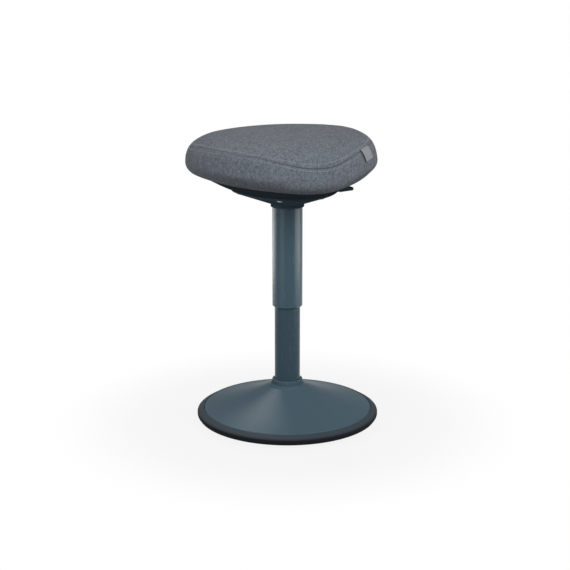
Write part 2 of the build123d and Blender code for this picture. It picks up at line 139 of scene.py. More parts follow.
class Finish(Graph):
    def __init__(self, name, **constants):
        self.material = bpy.data.materials.new(name)
        self.material.use_nodes = True
        super().__init__(self.material.node_tree)
        self.set(**constants)

    def set(self, **values):
        shader = self.tree.nodes["Principled BSDF"]
        for key, value in values.items():
            self.feed(shader.inputs[key.replace("_", " ")], value)

    def place(self, stretch=(1.0, 1.0, 1.0)):
        where = self.add("ShaderNodeTexCoord", output="Object")
        return self.add("ShaderNodeMapping", {}, {"Vector": where, "Scale": stretch})

    def noise(self, where, scale, detail=2.0):
        return self.add("ShaderNodeTexNoise", {}, {"Vector": where, "Scale": scale, "Detail": detail})

    def cells(self, where, scale, output="Distance"):
        return self.add("ShaderNodeTexVoronoi", {}, {"Vector": where, "Scale": scale}, output)

    def chance(self, x, y, z):
        where = self.add("ShaderNodeCombineXYZ", {}, {0: x, 1: y, 2: z})
        return self.add("ShaderNodeTexWhiteNoise", {"noise_dimensions": "3D"}, {"Vector": where})

    def axes(self, where):
        split = self.add("ShaderNodeSeparateXYZ", {}, {0: where})
        return split, split.out("Y"), split.out("Z")

    def weave(self):
        return self.axes(self.add("ShaderNodeUVMap", {"uv_map": "weave"}))[:2]

    def mix(self, factor, first, second):
        return self.add("ShaderNodeMix", {"data_type": "RGBA"}, {0: factor, 6: rgba(first), 7: rgba(second)}, 2)

    def fade(self, value, low, high):
        return self.add("ShaderNodeMapRange", {"interpolation_type": "SMOOTHSTEP"}, {0: value, 1: low, 2: high})

    def bump(self, height, depth):
        self.set(Normal=self.add("ShaderNodeBump", {}, {"Height": height, "Distance": depth, "Strength": 1.0}))


def rgba(colour):
    return colour if isinstance(colour, Flow) else (*colour, 1.0)


def newPiece(name, bm, material):
    mesh = bpy.data.meshes.new(name)
    bm.to_mesh(mesh)
    bm.free()
    mesh.materials.append(material)
    for face in mesh.polygons:
        face.use_smooth = True
    piece = bpy.data.objects.new(name, mesh)
    scene.collection.objects.link(piece)
    return piece


# camera

cameraSettings = {
    "azimuth": -17.5,
    "distance": 2.8,         # level distance from the column
    "height": 1.0318,
    "aside": 0.0047,
    "pitch": 15.073,
    "sensor": 36.0,
    "picture": 570.0,        # pixels across
    "focalPixels": 1481.1,
}


def makeCamera(s):
    turn = radians(s["azimuth"])
    back = Vector((sin(turn), -cos(turn), 0.0)) * s["distance"]
    right = Vector((cos(turn), sin(turn), 0.0))
    data = bpy.data.cameras.new("camera")
    data.sensor_width = s["sensor"]
    data.lens = data.sensor_width * s["focalPixels"] / s["picture"]
    camera = bpy.data.objects.new("camera", data)
    camera.location = back - right * s["aside"] + Vector((0.0, 0.0, s["height"]))
    camera.rotation_euler = (radians(90.0 - s["pitch"]), 0.0, turn)
    scene.collection.objects.link(camera)
    scene.camera = camera


# floor, white surround and soft boxes

stageSettings = {
    "floorRadius": 6.0,
    "floorSides": 96,
    "floorHeight": -0.0003,  # just clear of the sole
    "floorColour": (0.32, 0.32, 0.32),
    "floorRough": 0.9,
    "whiteShare": 0.88,      # plain white mixed into the lit floor, more of it further out
    "whiteFrom": 0.24,
    "whiteTo": 0.50,
    "ambient": 0.15,
}
lampSettings = {
    # azimuth, height, distance, width, length, height that it is aimed at, watts, lights matt surfaces too
    "frontBox": (10.0, 2.1, 2.5, 1.6, 1.2, 0.32, 61.0, True),
    "topBox": (-178.0, 2.3, 1.5, 1.4, 1.4, 0.32, 4.0, True),
    "rightBox": (72.0, 1.4, 2.2, 1.2, 1.4, 0.32, 9.0, True),
    "leftBox": (-75.0, 1.4, 2.2, 1.0, 1.4, 0.32, 19.0, True),
    # these only show in gloss: three cards on the floor that face up, and one over the back of the base
    "rimCard": (-136.0, 0.02, 1.25, 1.2, 1.0, 9.0, 14.0, False),
    "softCard": (-58.0, 0.02, 1.25, 0.8, 1.0, 9.0, 5.0, False),
    "sideCard": (66.0, 0.02, 1.25, 1.3, 1.0, 9.0, 25.0, False),
    "coneCard": (-174.0, 2.0, 1.45, 0.6, 0.6, 0.05, 82.0, False),
}


def makeStage(s):
    paper = Finish("floorPaper", Base_Color=rgba(s["floorColour"]), Roughness=s["floorRough"])
    away = paper.add("ShaderNodeVectorMath", {"operation": "LENGTH"}, {0: paper.place()}, "Value")
    mask = s["whiteShare"] + (1 - s["whiteShare"]) * paper.fade(away, s["whiteFrom"], s["whiteTo"])
    paper.whiten("Principled BSDF", "Material Output", mask)
    bm = bmesh.new()
    bmesh.ops.create_circle(bm, cap_ends=True, segments=s["floorSides"], radius=s["floorRadius"],
                            matrix=Matrix.Translation((0.0, 0.0, s["floorHeight"])))
    newPiece("studioFloor", bm, paper.material)

    scene.world = bpy.data.worlds.new("studio")
    scene.world.use_nodes = True
    sky = Graph(scene.world.node_tree)
    dim = sky.tree.nodes["Background"]
    sky.feed(dim.inputs["Color"], (1.0, 1.0, 1.0, 1.0))
    sky.feed(dim.inputs["Strength"], s["ambient"])
    sky.whiten("Background", "World Output")


def makeLamps(lamps):
    for name, (azimuth, height, distance, width, length, aimHeight, watts, litMatt) in lamps.items():
        data = bpy.data.lights.new(name, "AREA")
        data.shape = "RECTANGLE"
        data.size, data.size_y = width, length
        data.energy = watts
        lamp = bpy.data.objects.new(name, data)
        lamp.visible_diffuse = litMatt
        lamp.visible_camera = False
        turn = radians(azimuth)
        lamp.location = (sin(turn) * distance, -cos(turn) * distance, height)
        aim = Vector((0.0, 0.0, aimHeight))
        lamp.rotation_euler = (aim - lamp.location).to_track_quat("-Z", "Y").to_euler()
        scene.collection.objects.link(lamp)


makeCamera(cameraSettings)
makeStage(stageSettings)
makeLamps(lampSettings)
print("camera, floor and lamps set")


# seat cloth

clothSettings = {
    "yarn": 0.0016,
    "yarnDepth": 0.00035,
    "darkYarn": (0.076, 0.090, 0.110),
    "lightYarn": (0.293, 0.325, 0.367),
    # painted shade in the gaps between the yarns
    "gapShadeColour": (0.060, 0.066, 0.074),
    "gapShadeFade": (0.5, 0.05),        # painted shade in the weave's gaps: height where a gap starts to darken, and where it is dark
    # painted shade in the seam's groove, laid on by the seamShade attribute
    "seamShadeColour": (0.030, 0.034, 0.039),
    "clump": (2.0, 3.0),           # yarns in a fleck, both ways
    "fibreScale": 2600.0,
    "cloudScale": 22.0,
    "toneShares": {"yarn": 0.20, "float": 0.34, "clump": 0.32, "fibre": 0.14, "cloud": 0.25},
    "rough": (0.80, 0.15),         # least, and what the fibre adds
    "sheen": 0.04,
    "sheenRough": 0.6,
    "gloss": 0.035,
}
threadSettings = {
    "dark": (0.19, 0.205, 0.225),
    "light": (0.40, 0.415, 0.44),
    "strandScale": 3200.0,
    "driftScale": 240.0,
    "depth": 0.0001,
    "rough": (0.55, 0.3),
    "sheen": 0.1,
    "gloss": 0.3,
}


def wovenCloth(s):
    finish = Finish("melangeCloth", Sheen_Weight=s["sheen"], Sheen_Roughness=s["sheenRough"],
                    Specular_IOR_Level=s["gloss"])
    u, v = finish.weave()
    u, v = u / s["yarn"], v / s["yarn"]
    warp, weft = u.floor(), v.floor()
    over = (warp + weft) % 2.0                        # which yarn lies on top
    warpBack = u.hump() * (0.5 + 0.5 * v.hump())
    weftBack = v.hump() * (0.5 + 0.5 * u.hump())
    back = warpBack * (1 - over) + weftBack * over
    # the plain numbers in each chance only keep the draws apart
    yarnTone = finish.chance(warp, 0.5, 0.5) * (1 - over) + finish.chance(0.5, weft, 7.5) * over
    floatTone = finish.chance(warp, weft, 3.5)
    clump = finish.chance((warp / s["clump"][0]).floor(), (weft / s["clump"][1]).floor(), 9.5)
    where = finish.place()
    fibre = finish.noise(where, s["fibreScale"], 3.0)
    cloud = finish.noise(where, s["cloudScale"], 3.0)
    share = s["toneShares"]
    tone = share["yarn"] * yarnTone + share["float"] * floatTone + share["clump"] * clump
    tone = tone + share["fibre"] * fibre + share["cloud"] * (cloud - 0.5)
    colour = finish.mix(tone.clamp(), s["darkYarn"], s["lightYarn"])
    # painted shade in the low gaps of the weave
    colour = finish.mix(finish.fade(back, *s["gapShadeFade"]), colour, s["gapShadeColour"])
    # painted shade along the seam, from the seamShade attribute
    seam = finish.add("ShaderNodeAttribute", {"attribute_name": "seamShade"}, output="Fac")
    finish.set(Base_Color=finish.mix(seam, colour, s["seamShadeColour"]),
               Roughness=s["rough"][0] + s["rough"][1] * fibre)
    finish.bump(back + 0.25 * fibre, s["yarnDepth"])
    return finish.material


def sewingThread(s):
    finish = Finish("sewingThread", Sheen_Weight=s["sheen"], Specular_IOR_Level=s["gloss"])
    where = finish.place()
    strand = finish.noise(where, s["strandScale"], 2.0)
    tone = 0.7 * finish.noise(where, s["driftScale"], 1.0) + 0.3 * strand
    finish.set(Base_Color=finish.mix(tone, s["dark"], s["light"]),
               Roughness=s["rough"][0] + s["rough"][1] * strand)
    finish.bump(strand, s["depth"])
    return finish.material


# cushion: rings laid on the CAD cover, sewn along one of them

cushionSettings = {
    "segments": 216,
    "startRadius": 0.17,                     # of the circle that becomes the seam
    "clear": 0.0002,                         # kept from an edge or a neighbour
    "seamOutline": (0.190, 0.155, 0.070),    # reach at a corner, at a side, corner radius
    "frontEase": 0.0035,                     # the seam runs this much further out at the front corner
    "easeSpread": 28.0,
    "nearSeam": (0.0012, 0.0028, 0.0046, 0.0066, 0.0095),   # close rings on both sides of the seam
    "topRings": 20,
    "topInset": 0.150,                       # of the innermost ring
    "topCrowd": 0.15,                        # draws the rings together towards the middle
    "polePoints": 24,
    "bandShare": 0.9,                        # the band's close rings against the top's
    "upperBandRings": 7,
    "girthHeight": 0.5175,
    "lowerBandRings": 9,
    "lowerTurn": 84.0,                       # the lower band rounds in by this angle
    "hemTuck": 0.004,
    "hemWidth": 0.022,
    "boardInset": 0.0086,
    "innerInsets": (0.060, 0.115),           # rings that close the form over the board
    "cornerSwell": ((8.0, 30.0, 0.0050), (150.0, 40.0, 0.0021)),   # azimuth, spread, depth of rounder corners
    "swellFrom": 0.06,                       # the rounder corners start this far from the middle
    "swellRun": 0.09,
    "swellRise": 0.02,                       # and grow over this height above the hem
    "topSlack": 0.0035,                      # each panel starts this far in and swells out again
    "topEase": 0.035,                        # the slack grows over this distance from the seam
    "bandSlack": 0.0015,
    "bandEase": 0.020,
    "pressure": 40.0,
    "frames": 20,
    "clothQuality": 6,
    "clothMass": 0.02,
    "clothStretch": 4.0,
    "clothShear": 2.0,
    "clothBending": 0.1,
    "swellShares": (0.85, 1.2),              # a point moves out by its slack times these at least and at most
    "seamRelief": (-0.0009, 0.0003, 0.0002, -0.0003, 0.0001, 0.0),   # seam, then the close rings
    "seamShade": (0.22, 0.50),               # painted shade in the seam all round, and added to it at the front corner
    "shadeSpread": 42.0,
    "stitchRing": 3,                         # the close ring that carries the thread
}
cornerAngles = (30.0, 150.0, 270.0)
frontCorner = cornerAngles[2]


def turnFrom(angle, corner):
    return (angle - corner + 180.0) % 360.0 - 180.0


def pointTurn(point, corner):
    return turnFrom(atan2(point.y, point.x) * 180.0 / pi, corner)


def hill(away):
    return exp(-away * away)


def ramp(value):
    return max(0.0, min(1.0, value))


def outlineReach(angle, corner, side, rounding):
    # rounded triangle: a corner arc, then a flatter side arc that meets it smoothly
    reach = corner - rounding
    depth = side - rounding
    back = (reach * reach - depth * depth) / (2 * depth - reach)
    turn = radians(min(abs(turnFrom(angle, each)) for each in cornerAngles))
    middle = Vector((reach, 0.0))
    sideCentre = -back * Vector((cos(pi / 3), sin(pi / 3)))
    meeting = middle + (middle - sideCentre).normalized() * rounding
    if turn < atan2(meeting.y, meeting.x):
        return reach * cos(turn) + sqrt(rounding ** 2 - (reach * sin(turn)) ** 2)
    away = pi / 3 - turn
    return sqrt((side + back) ** 2 - (back * sin(away)) ** 2) - back * cos(away)


def seamReach(angle, s):
    turn = angle * 180.0 / pi
    ease = s["frontEase"] * hill(turnFrom(turn, frontCorner) / s["easeSpread"])
    return outlineReach(turn, *s["seamOutline"]) + ease


def coverSurface(names):
    points, faces = [], []
    for name in names:
        mesh = nodes[name].data
        faces += [[len(points) + i for i in face.vertices] for face in mesh.polygons]
        points += [v.co for v in mesh.vertices]
    return BVHTree.FromPolygons(points, faces)


# each point is the middle one of three close casts, as one can slip into the joint between the covers

castSteps = (-0.0003, 0.0, 0.0003)


def topPoint(cover, angle, reach):
    hits = []
    for step in castSteps:
        start = Vector(((reach + step) * cos(angle), (reach + step) * sin(angle), 1.0))
        hits.append(cover.ray_cast(start, Vector((0.0, 0.0, -1.0)))[0])
    return sorted(hits, key=lambda point: point.z)[1]


def sidePoint(cover, angle, height):
    hits = []
    out = Vector((cos(angle), sin(angle), 0.0))
    for step in castSteps:
        hits.append(cover.ray_cast(out + Vector((0.0, 0.0, height + step)), -out)[0])
    return sorted(hits, key=lambda point: point.xy.length)[1]


def nextRing(bm, ring, points):
    edges = [bm.edges.get((ring[i - 1], ring[i])) for i in range(len(ring))]
    made = bmesh.ops.extrude_edge_only(bm, edges=edges)["geom"]
    fresh = {part for part in made if isinstance(part, bmesh.types.BMVert)}
    following = [next(edge.other_vert(v) for edge in v.link_edges if edge.other_vert(v) in fresh) for v in ring]
    for v, point in zip(following, points):
        v.co = point
    return following


def closeRing(bm, ring, points):
    # weld the ring to a few points before its middle is filled, so that no point joins too many edges
    group = len(ring) // points
    leaders = [ring[k - k % group + group // 2] for k in range(len(ring))]
    bmesh.ops.weld_verts(bm, targetmap={v: leader for v, leader in zip(ring, leaders) if v is not leader})
    middle = bmesh.ops.contextual_create(bm, geom=leaders[::group])["faces"]
    bmesh.ops.poke(bm, faces=middle)
    return leaders


def layRings(s, hemHeight):
    cover = coverSurface(("cover_top", "cover_band"))
    bm = bmesh.new()
    seamRing = bmesh.ops.create_circle(bm, segments=s["segments"], radius=s["startRadius"])["verts"]
    angles = [atan2(v.co.y, v.co.x) for v in seamRing]
    reaches = [seamReach(a, s) for a in angles]
    seam = [topPoint(cover, a, r - s["clear"]) for a, r in zip(angles, reaches)]
    for v, point in zip(seamRing, seam):
        v.co = point

    top = [seamRing]
    closest = s["nearSeam"][-1]
    insets = list(s["nearSeam"])
    for step in range(1, s["topRings"]):
        share = step / s["topRings"]
        insets.append(closest + (s["topInset"] - closest) * (share + s["topCrowd"] * share * (1 - share)))
    for inset in insets:
        left = 1 - inset / s["seamOutline"][1]
        top.append(nextRing(bm, top[-1], [topPoint(cover, a, r * left) for a, r in zip(angles, reaches)]))
    top[-1] = closeRing(bm, top[-1], s["polePoints"])

    band = [seamRing]
    drops = [inset * s["bandShare"] for inset in s["nearSeam"]]
    for drop in drops:
        band.append(nextRing(bm, band[-1], [sidePoint(cover, a, p.z - drop) for a, p in zip(angles, seam)]))
    for step in range(1, s["upperBandRings"] + 1):
        share = step / s["upperBandRings"]
        points = []
        for a, p in zip(angles, seam):
            start = p.z - drops[-1]
            points.append(sidePoint(cover, a, start + (s["girthHeight"] - start) * share))
        band.append(nextRing(bm, band[-1], points))
    for step in range(1, s["lowerBandRings"] + 1):
        turn = radians(s["lowerTurn"] * step / s["lowerBandRings"])
        height = s["girthHeight"] + (hemHeight + s["clear"] - s["girthHeight"]) * sin(turn)
        band.append(nextRing(bm, band[-1], [sidePoint(cover, a, height) for a in angles]))

    # the hem turns in under the board, and the form closes round the board
    boardLow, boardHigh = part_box("seat_board")
    under = boardLow.z - s["clear"]
    over = boardHigh.z + s["clear"]
    route = [(s["hemTuck"], hemHeight), (s["hemWidth"], hemHeight), (s["hemWidth"], under),
             (s["boardInset"], under), (s["boardInset"], over)]
    route += [(inset, over) for inset in s["innerInsets"]]
    edge = band[-1]
    lining = []
    for inset, height in route:
        points = []
        for a, v in zip(angles, edge):
            reach = v.co.xy.length - inset
            points.append(Vector((reach * cos(a), reach * sin(a), height)))
        lining.append(nextRing(bm, (lining or band)[-1], points))
    lining[-1] = closeRing(bm, lining[-1], s["polePoints"])
    bmesh.ops.recalc_face_normals(bm, faces=bm.faces)
    return bm, top, band, lining


def laySewing(bm, top, band, lining, s):
    # cloth coordinates in metres: the top from its middle outwards, the band along its length and down
    weave = bm.loops.layers.uv.new("weave")
    count = s["segments"]
    flat = {}
    for k in range(count):
        column = [ring[k] for ring in top]
        run = column[-1].co.xy.length
        for outer, v in zip([None] + column[::-1], column[::-1]):
            run += (v.co - outer.co).length if outer else 0.0
            flat[v] = v.co.xy.normalized() * run
    girth = band[-1 - s["lowerBandRings"]]
    along = [0.0]
    for k in range(count):
        along.append(along[-1] + (girth[(k + 1) % count].co - girth[k].co).length)
    down = {}
    place = {}
    for k in range(count):
        run = 0.0
        column = [ring[k] for ring in band + lining]
        for upper, v in zip([None] + column, column):
            run += (v.co - upper.co).length if upper else 0.0
            down[v] = run
            place[v] = k
    topVerts = {v for ring in top for v in ring}
    for face in bm.faces:
        onTop = all(v in topVerts or v not in place for v in face.verts)
        ks = [place[v] for v in face.verts if v in place]
        wraps = bool(ks) and max(ks) - min(ks) > 1
        for loop in face.loops:
            v = loop.vert
            if onTop:
                loop[weave].uv = flat.get(v, (v.co.x, v.co.y))
            elif v in place:
                k = place[v] + (count if wraps and place[v] == 0 else 0)
                loop[weave].uv = (along[k], down[v])
            else:
                loop[weave].uv = (v.co.x, v.co.y)


def cornerFullness(point, hemHeight, s):
    fullness = 0.0
    for corner, spread, depth in s["cornerSwell"]:
        fullness += depth * hill(pointTurn(point, corner) / spread)
    outwards = ramp((point.xy.length - s["swellFrom"]) / s["swellRun"])
    upwards = ramp((point.z - hemHeight) / s["swellRise"])
    return fullness * outwards * outwards * upwards


def panelSlack(top, band, s):
    slackOf = {}
    for panel, ease, mostSlack in ((top, s["topEase"], s["topSlack"]), (band, s["bandEase"], s["bandSlack"])):
        last = panel[-1]
        for k in range(s["segments"]):
            run = 0.0
            for inner, ring in zip([None] + panel, panel):
                run += (ring[k].co - inner[k].co).length if inner else 0.0
                fromSeam = min(1.0, run / ease)
                fromHem = 1.0 if panel is top else min(1.0, (ring[k].co - last[k].co).length / ease)
                slackOf[ring[k]] = mostSlack * sin(fromSeam * pi / 2) * sin(fromHem * pi / 2)
    return slackOf


def swell(cushion, slackOf, s):
    held = cushion.vertex_groups.new(name="held")
    held.add([i for i, slack in enumerate(slackOf) if slack < s["clear"]], 1.0, "REPLACE")
    start = [v.co.copy() for v in cushion.data.vertices]
    outward = [v.normal.copy() for v in cushion.data.vertices]
    cloth = cushion.modifiers.new("swell", "CLOTH")
    cloth.settings.quality = s["clothQuality"]
    cloth.settings.mass = s["clothMass"]
    cloth.settings.tension_stiffness = s["clothStretch"]
    cloth.settings.compression_stiffness = s["clothStretch"]
    cloth.settings.shear_stiffness = s["clothShear"]
    cloth.settings.bending_stiffness = s["clothBending"]
    cloth.settings.use_pressure = True
    cloth.settings.uniform_pressure_force = s["pressure"]
    cloth.settings.vertex_group_mass = held.name
    cloth.settings.effector_weights.gravity = 0.0
    for number in range(1, s["frames"] + 1):
        scene.frame_set(number)
    swollen = cushion.evaluated_get(bpy.context.evaluated_depsgraph_get()).to_mesh()
    moves = [v.co - p for v, p in zip(swollen.vertices, start)]
    cushion.modifiers.remove(cloth)
    cushion.vertex_groups.remove(held)
    scene.frame_set(1)
    least, most = s["swellShares"]                   # the foam keeps a point out, and the seams keep it in
    for v, p, out, move, slack in zip(cushion.data.vertices, start, outward, moves, slackOf):
        v.co = p + out * max(least * slack, min(most * slack, move.dot(out)))


def makeCushion(s, material):
    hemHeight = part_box("cover_band")[0].z
    bm, top, band, lining = layRings(s, hemHeight)
    bm.normal_update()
    for v in {v for ring in top + band for v in ring}:
        v.co += v.normal * cornerFullness(v.co, hemHeight, s)
    laySewing(bm, top, band, lining, s)
    bm.normal_update()
    slackOf = panelSlack(top, band, s)
    for v in bm.verts:
        if v not in slackOf:
            slackOf[v] = s["topSlack"] if v.co.z > s["girthHeight"] else 0.0
        v.co -= v.normal * slackOf[v]
    bm.verts.index_update()
    close = len(s["seamRelief"])
    topClose, bandClose = [[[v.index for v in ring] for ring in panel[:close]] for panel in (top, band)]
    slack = [slackOf[v] for v in bm.verts]
    piece = newPiece("seatCushion", bm, material)
    swell(piece, slack, s)
    piece.data.update()

    # the seam pulls in between two low ridges, and each thread row sinks a little
    points = piece.data.vertices
    normals = [v.normal.copy() for v in points]
    for rings in (topClose, bandClose[1:]):
        reliefs = s["seamRelief"][-len(rings):]
        for ring, relief in zip(rings, reliefs):
            for i in ring:
                points[i].co += normals[i] * relief
    # painted shade along the seam, deeper towards the front corner
    shade = piece.data.attributes.new("seamShade", "FLOAT", "POINT")
    always, atFront = s["seamShade"]
    for i in topClose[0]:
        shade.data[i].value = always + atFront * hill(pointTurn(points[i].co, frontCorner) / s["shadeSpread"])
    rows = []
    for rings in (topClose, bandClose):
        row = rings[s["stitchRing"]]
        rows.append(([points[i].co.copy() for i in row], [normals[i] for i in row]))
    smoother = piece.modifiers.new("subdivision", "SUBSURF")
    smoother.levels = smoother.render_levels = 1
    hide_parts("cover_top", "cover_band", "seat_foam")
    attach(piece, "seat")
    return piece, rows


# thread along both sides of the seam

stitchSettings = {
    "pitch": 0.0047,
    "length": 0.0037,
    "radius": 0.00050,
    "proud": 0.0001,
}


def threadGrain():
    bm = bmesh.new()
    bmesh.ops.create_uvsphere(bm, u_segments=6, v_segments=5, radius=1.0, matrix=Matrix.Rotation(pi / 2, 4, "Y"))
    mesh = bpy.data.meshes.new("threadGrain")
    bm.to_mesh(mesh)
    bm.free()
    return mesh


def addStitch(bm, grain, point, along, out, s):
    along = (along - out * along.dot(out)).normalized()
    turn = Matrix((along, out.cross(along), out)).transposed().to_4x4()
    size = Matrix.Diagonal((s["length"] / 2, s["radius"], s["radius"], 1.0))
    stitch = grain.copy()
    stitch.transform(Matrix.Translation(point + out * s["proud"]) @ turn @ size)
    bm.from_mesh(stitch)
    bpy.data.meshes.remove(stitch)


def makeStitches(rows, s, grain, material):
    bm = bmesh.new()
    for points, outward in rows:
        run = 0.0
        wanted = 0.0
        for k in range(len(points)):
            following = (k + 1) % len(points)
            here, there = points[k], points[following]
            step = (there - here).length
            while wanted < run + step:
                share = (wanted - run) / step
                along = (there - here).normalized()
                out = outward[k].lerp(outward[following], share)
                out = (out - along * out.dot(along)).normalized()
                addStitch(bm, grain, here.lerp(there, share), along, out, s)
                wanted += s["pitch"]
            run += step
    piece = newPiece("seamStitches", bm, material)
    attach(piece, "seat")


# blank tab sewn on over the seam

labelSettings = {
    "width": 0.048,
    "height": 0.025,
    "thickness": 0.0007,
    "squares": (24, 12),
    "faces": 324.0,          # the way that its middle looks, seen from above
    "castFrom": 0.04,
    "clear": 0.0003,
    "openLift": 0.0016,      # the open end stands off the seat
    "openRun": 0.006,
    "stitch": {"length": 0.0021, "radius": 0.0003, "proud": 0.0},
    "stitchInset": 0.0016,
    "rowStitches": 15,
    "rowStart": 0.009,       # from the open end
    "endStitches": 8,
    "dark": (0.155, 0.164, 0.184),
    "light": (0.298, 0.314, 0.348),
    "rib": 0.00045,
    "float": 0.0011,
    "ribDepth": 0.00012,
    "fibreScale": 3000.0,
    "openEndShadeFade": (-0.0218, -0.0224),    # painted shade of the gap under the open end
    "openEndShadeColour": (0.02, 0.022, 0.026),
    "rough": (0.55, 0.3),
    "sheen": 0.15,
    "gloss": 0.35,
}


def labelCloth(s):
    finish = Finish("labelCloth", Sheen_Weight=s["sheen"], Specular_IOR_Level=s["gloss"])
    u, v = finish.weave()
    rib = (v / s["rib"]).hump()
    floatTone = finish.chance((u / s["float"]).floor(), (v / s["rib"]).floor(), 1.5)
    fibre = finish.noise(finish.place(), s["fibreScale"], 2.0)
    tone = 0.45 * floatTone + 0.35 * rib + 0.2 * fibre
    colour = finish.mix(tone, s["dark"], s["light"])
    # painted shade along the open end
    colour = finish.mix(finish.fade(u, *s["openEndShadeFade"]), colour, s["openEndShadeColour"])
    finish.set(Base_Color=colour, Roughness=s["rough"][0] + s["rough"][1] * fibre)
    finish.bump(rib + 0.3 * floatTone, s["ribDepth"])
    return finish.material


def makeLabel(cushion, s, grain, material, thread):
    low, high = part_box("cover_label")
    skin = BVHTree.FromObject(cushion, bpy.context.evaluated_depsgraph_get())
    middle, normal = skin.find_nearest((low + high) / 2)[:2]
    turn = radians(s["faces"])
    along = Vector((-sin(turn), cos(turn), 0.0))
    normal = (normal - along * normal.dot(along)).normalized()
    up = normal.cross(along)

    def onSeat(a, b, lift):
        start = middle + along * a + up * b + normal * s["castFrom"]
        hit, skinNormal = skin.ray_cast(start, -normal)[:2]
        return hit + skinNormal * lift, skinNormal

    bm = bmesh.new()
    weave = bm.loops.layers.uv.new("weave")
    bmesh.ops.create_grid(bm, x_segments=s["squares"][0], y_segments=s["squares"][1], size=0.5)
    for face in bm.faces:
        for loop in face.loops:
            loop[weave].uv = (loop.vert.co.x * s["width"], loop.vert.co.y * s["height"])
    for v in bm.verts:
        a, b = v.co.x * s["width"], v.co.y * s["height"]
        lift = s["clear"] + s["openLift"] * hill((a + s["width"] / 2) / s["openRun"])
        v.co = onSeat(a, b, lift)[0]
    bmesh.ops.recalc_face_normals(bm, faces=bm.faces)
    if sum(f.normal.dot(normal) for f in bm.faces) < 0:
        bmesh.ops.reverse_faces(bm, faces=bm.faces)
    bmesh.ops.solidify(bm, geom=bm.faces[:], thickness=-s["thickness"])
    piece = newPiece("seamLabel", bm, material)
    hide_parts("cover_label")
    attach(piece, "seat")

    # small stitches hold three of its edges
    bm = bmesh.new()
    side = s["height"] / 2 - s["stitchInset"]
    end = s["width"] / 2 - s["stitchInset"]
    lift = s["thickness"] + s["clear"]
    for k in range(s["rowStitches"]):
        a = -end + s["rowStart"] + (2 * end - s["rowStart"]) * k / (s["rowStitches"] - 1)
        for b in (-side, side):
            point, out = onSeat(a, b, lift)
            addStitch(bm, grain, point, along, out, s["stitch"])
    for k in range(s["endStitches"]):
        point, out = onSeat(end, -side + 2 * side * k / (s["endStitches"] - 1), lift)
        addStitch(bm, grain, point, up, out, s["stitch"])
    stitches = newPiece("labelStitches", bm, thread)
    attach(stitches, "seat")


cloth = wovenCloth(clothSettings)
thread = sewingThread(threadSettings)
cushion, stitchRows = makeCushion(cushionSettings, cloth)
print("cushion made:", len(cushion.data.vertices), "points")
grain = threadGrain()
makeStitches(stitchRows, stitchSettings, grain, thread)
makeLabel(cushion, labelSettings, grain, labelCloth(labelSettings), thread)
print("seam, thread and label made")


# finishes of the hard parts

paintSettings = {
    "slateTube": {"dark": (0.035, 0.073, 0.100), "light": (0.048, 0.093, 0.123), "rough": 0.20, "gloss": 0.25},
    # a darker copy of the tube paint, for painted shade on the lower tube
    "slateLowerShaded": {"dark": (0.030, 0.060, 0.082), "light": (0.041, 0.077, 0.100), "rough": 0.24, "gloss": 0.14},
    "slateBase": {"dark": (0.060, 0.100, 0.130), "light": (0.080, 0.127, 0.158), "rough": 0.30, "gloss": 0.011},
}
coatSettings = {
    "flangeCoat": {"dark": (0.049, 0.078, 0.103), "light": (0.071, 0.106, 0.134),
                   "grain": 900.0, "depth": 0.00010, "rough": 0.50, "gloss": 0.0},
    "shellGrain": {"dark": (0.028, 0.039, 0.049), "light": (0.044, 0.057, 0.069),
                   "grain": 1300.0, "depth": 0.00012, "rough": 0.60, "gloss": 0.0},
    "guidePlastic": {"dark": (0.015, 0.016, 0.018), "light": (0.026, 0.027, 0.030),
                     "grain": 2200.0, "depth": 0.00003, "rough": 0.36, "gloss": 0.2},
    "leverCoat": {"dark": (0.018, 0.020, 0.023), "light": (0.032, 0.035, 0.039),
                  "grain": 1600.0, "depth": 0.00005, "rough": 0.38, "gloss": 0.1},
    "cylinderCoat": {"dark": (0.014, 0.015, 0.017), "light": (0.024, 0.025, 0.028),
                     "grain": 2400.0, "depth": 0.00002, "rough": 0.30, "gloss": 0.3},
}
metalSettings = {
    "screwSteel": {"dark": (0.28, 0.29, 0.31), "light": (0.40, 0.41, 0.43),
                   "pitch": 0.0006, "depth": 0.00003, "rough": 0.34},
    "bearingSteel": {"dark": (0.52, 0.53, 0.55), "light": (0.66, 0.67, 0.69),
                     "pitch": 0.0004, "depth": 0.00001, "rough": 0.10},
    "turnedAluminium": {"dark": (0.58, 0.59, 0.61), "light": (0.72, 0.73, 0.74),
                        "pitch": 0.0005, "depth": 0.00004, "rough": 0.26},
}
rubberSettings = {
    "dark": (0.037, 0.049, 0.062),
    "light": (0.055, 0.069, 0.085),
    "scuff": (0.075, 0.080, 0.086),
    # the next two paint shade on the lower rubber
    "lowShade": (0.012, 0.014, 0.017),
    "lowShadeFade": (0.0250, 0.0200),     # painted shade: heights between which it gets darker towards the floor
    "depth": 0.00005,
    "rough": 0.62,
    "gloss": 0.04,
}
zincSettings = {
    "plain": (0.50, 0.51, 0.53),
    "spangle": (0.52, 0.53, 0.55),
    "bloom": (0.60, 0.61, 0.60),
    "depth": 0.00004,
    "rough": 0.30,
}
ironSettings = {
    "dark": (0.085, 0.085, 0.090),
    "light": (0.150, 0.150, 0.155),
    "rust": (0.16, 0.10, 0.07),
    "depth": 0.0003,
    "rough": 0.60,
    "gloss": 0.4,
}
plywoodSettings = {
    "dark": (0.36, 0.24, 0.14),
    "light": (0.62, 0.47, 0.31),
    "glue": (0.30, 0.19, 0.11),
    "lowest": 0.494,
    "ply": 0.0024,
    "depth": 0.0002,
    "rough": 0.55,
    "gloss": 0.3,
}


